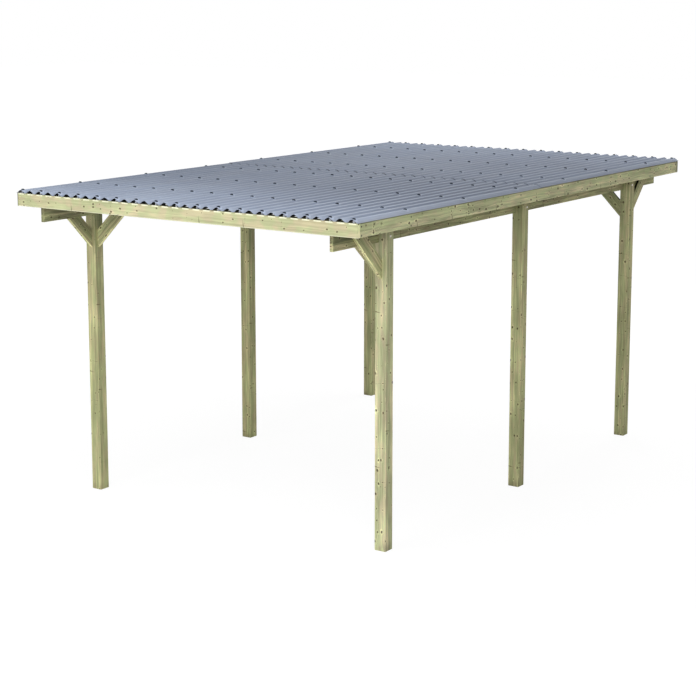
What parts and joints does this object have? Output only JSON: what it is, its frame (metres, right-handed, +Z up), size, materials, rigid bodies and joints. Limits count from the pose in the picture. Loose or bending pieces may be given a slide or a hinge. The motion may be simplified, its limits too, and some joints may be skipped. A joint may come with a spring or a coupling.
{
  "type": "carport",
  "caption": "Flat roofed timber carport on square posts, with diagonal knee braces, fascia boards and corrugated plastic roof sheets.",
  "frame": {"origin": "centre of the bounding box on the ground plane under the posts", "axes": "+Y along the length from the front of the carport to its rear, +X to the right when facing the front, +Z up"},
  "size_m": [3.036, 5.01, 2.3885],
  "materials": {
    "post_timber": "planed, pressure treated",
    "board_timber": "planed, pressure treated",
    "fascia_timber": "planed, pressure treated",
    "brace_timber": "planed, pressure treated",
    "roof_sheet": "satin, grey blue"
  },
  "bodies": {
    "root": {"post_front_left": "post_timber", "post_middle_left": "post_timber", "post_rear_left": "post_timber", "post_front_right": "post_timber", "post_middle_right": "post_timber", "post_rear_right": "post_timber", "beam_left": "board_timber", "beam_right": "board_timber", "purlin_1": "board_timber", "purlin_2": "board_timber", "purlin_3": "board_timber", "purlin_4": "board_timber", "purlin_5": "board_timber", "purlin_6": "board_timber", "purlin_7": "board_timber", "purlin_8": "board_timber", "fascia_front": "fascia_timber", "fascia_rear": "fascia_timber", "fascia_left": "fascia_timber", "fascia_right": "fascia_timber", "beam_brace_front_left": "brace_timber", "beam_brace_rear_left": "brace_timber", "beam_brace_front_right": "brace_timber", "beam_brace_rear_right": "brace_timber", "cross_brace_front_left": "brace_timber", "cross_brace_rear_left": "brace_timber", "cross_brace_front_right": "brace_timber", "cross_brace_rear_right": "brace_timber", "roof_sheet_front_left": "roof_sheet", "roof_sheet_front_middle": "roof_sheet", "roof_sheet_front_right": "roof_sheet", "roof_sheet_rear_left": "roof_sheet", "roof_sheet_rear_middle": "roof_sheet", "roof_sheet_rear_right": "roof_sheet"}
  },
  "joints": []
}
